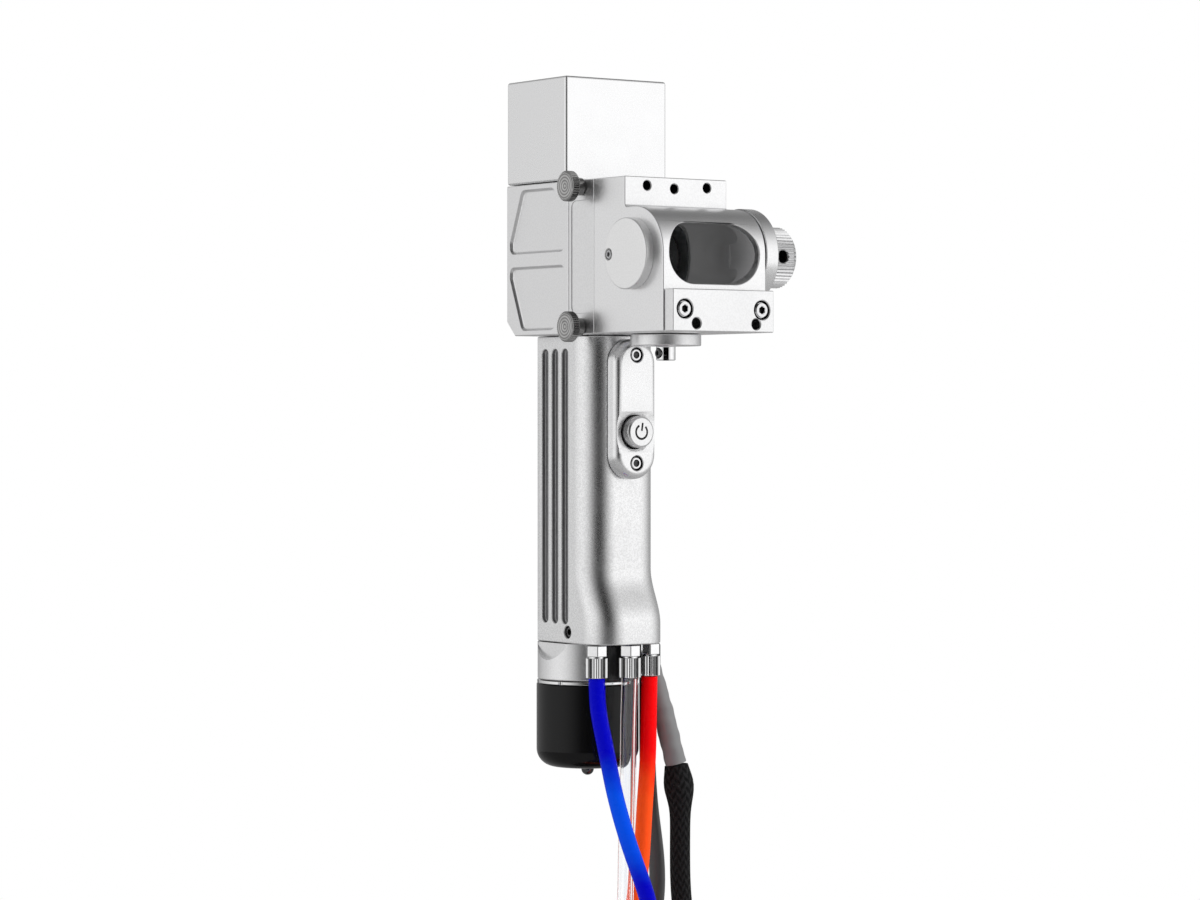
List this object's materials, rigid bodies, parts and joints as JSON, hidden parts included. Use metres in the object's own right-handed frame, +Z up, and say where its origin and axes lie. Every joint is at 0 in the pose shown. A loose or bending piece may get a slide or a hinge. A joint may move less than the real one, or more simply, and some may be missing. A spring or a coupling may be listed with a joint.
{
  "type": "laser cleaning head",
  "caption": "Handheld laser cleaning head: pocketed body on a fluted grip, nose with an oblong window, lens drawer, hoses and cables",
  "frame": {"origin": "middle of the grip's height, on the fibre's axis, where the hand holds it", "axes": "+Z up along the fibre's axis through the grip to the head, -Y the way the beam leaves through the window, -X the side where the lens drawer opens"},
  "size_m": [0.0901, 0.1207, 0.5657],
  "materials": {
    "satin": "bead blasted, clear anodised",
    "bright": "polished, nickel plated",
    "steel": "turned, plain steel",
    "dark": "black anodised",
    "black_gloss": "glossy",
    "black_plastic": "matte",
    "lens_glass": "polished, coated",
    "mirror": "polished, coated",
    "board": "solder mask",
    "seal": "smooth",
    "shrink": "shrunk tubing",
    "grey_cable": "smooth jacket",
    "braid": "braided sleeve",
    "blue_hose": "translucent tube",
    "red_hose": "translucent tube",
    "clear_hose": "clear tube"
  },
  "bodies": {
    "head": {"main_body": "satin", "galvo_cover": "satin", "galvo_motor": "dark", "driver_board": "board", "focus_lens": "lens_glass", "focus_lens_ring": "dark", "front_block": "satin", "chamber_liner": "dark", "beam_baffle": "dark", "side_cap": "satin", "side_cap_screw": "steel", "end_ring": "satin", "front_bar": "satin", "bar_screw_left": "steel", "bar_screw_right": "steel", "lower_clamp": "satin", "lower_clamp_screw": "steel", "grip_shell": "satin", "grip_screw": "steel", "switch_plate": "satin", "plate_screw_top": "steel", "plate_screw_bottom": "steel", "switch_body": "black_plastic", "collimator_barrel": "dark", "collimator_lens": "lens_glass", "collimator_ring": "dark", "fibre_receptacle": "satin", "blue_fitting": "bright", "clear_fitting": "bright", "red_fitting": "bright", "entry_block": "black_plastic", "side_outlet": "black_plastic", "cable_boot": "shrink", "blue_hose": "blue_hose", "clear_hose": "clear_hose", "red_hose": "red_hose", "control_cable": "braid", "interlock_cable": "grey_cable", "blue_hank": "blue_hose", "clear_hank": "clear_hose", "red_hank": "red_hose", "control_hank": "braid", "interlock_hank": "grey_cable", "hank_tie": "black_plastic", "control_plug": "steel", "interlock_plug": "steel"},
    "scan_rotor": {"galvo_shaft": "steel", "galvo_mirror": "mirror"},
    "lens_drawer": {"lens_drawer": "satin", "protective_lens": "lens_glass", "lens_seal": "seal", "lens_clamp_ring": "dark"},
    "upper_thumb_screw": {"thumb_screw_top": "steel"},
    "lower_thumb_screw": {"thumb_screw_bottom": "steel"},
    "knob": {"knurled_knob": "bright"},
    "button": {"power_button": "bright"},
    "lock_ring": {"lock_ring": "bright"},
    "dust_cap": {"dust_cap": "black_gloss", "cap_stud": "steel"}
  },
  "joints": [
    {"name": "scan_swing", "type": "hinge", "parent": "head", "child": "scan_rotor", "pos_m": [0, 0, 0.08425], "axis": [0, 0, 1], "range_deg": [-10, 10], "stiffness_Nm_per_rad": 0.002},
    {"name": "drawer_slide", "type": "slide", "parent": "head", "child": "lens_drawer", "axis": [-1, 0, 0], "range_m": [0, 0.042]},
    {"name": "upper_thumb_turn", "type": "hinge", "parent": "lens_drawer", "child": "upper_thumb_screw", "pos_m": [-0.0301, -0.02825, 0.10945], "axis": [1, 0, 0], "range_deg": [0, 1080]},
    {"name": "lower_thumb_turn", "type": "hinge", "parent": "lens_drawer", "child": "lower_thumb_screw", "pos_m": [-0.0301, -0.02825, 0.05905], "axis": [1, 0, 0], "range_deg": [0, 1080]},
    {"name": "knob_turn", "type": "hinge", "parent": "head", "child": "knob", "pos_m": [0.0356, -0.061, 0.08425], "axis": [1, 0, 0], "range_deg": [0, 720]},
    {"name": "button_press", "type": "slide", "parent": "head", "child": "button", "axis": [0, 1, 0], "range_m": [0, 0.0012], "stiffness_N_per_m": 1200, "springref_m": -0.0006},
    {"name": "lock_turn", "type": "hinge", "parent": "head", "child": "lock_ring", "pos_m": [0, 0, -0.0712], "axis": [0, 0, 1], "range_deg": [0, 60]},
    {"name": "cap_pull", "type": "slide", "parent": "head", "child": "dust_cap", "axis": [0, 0, -1], "range_m": [0, 0.02]}
  ]
}
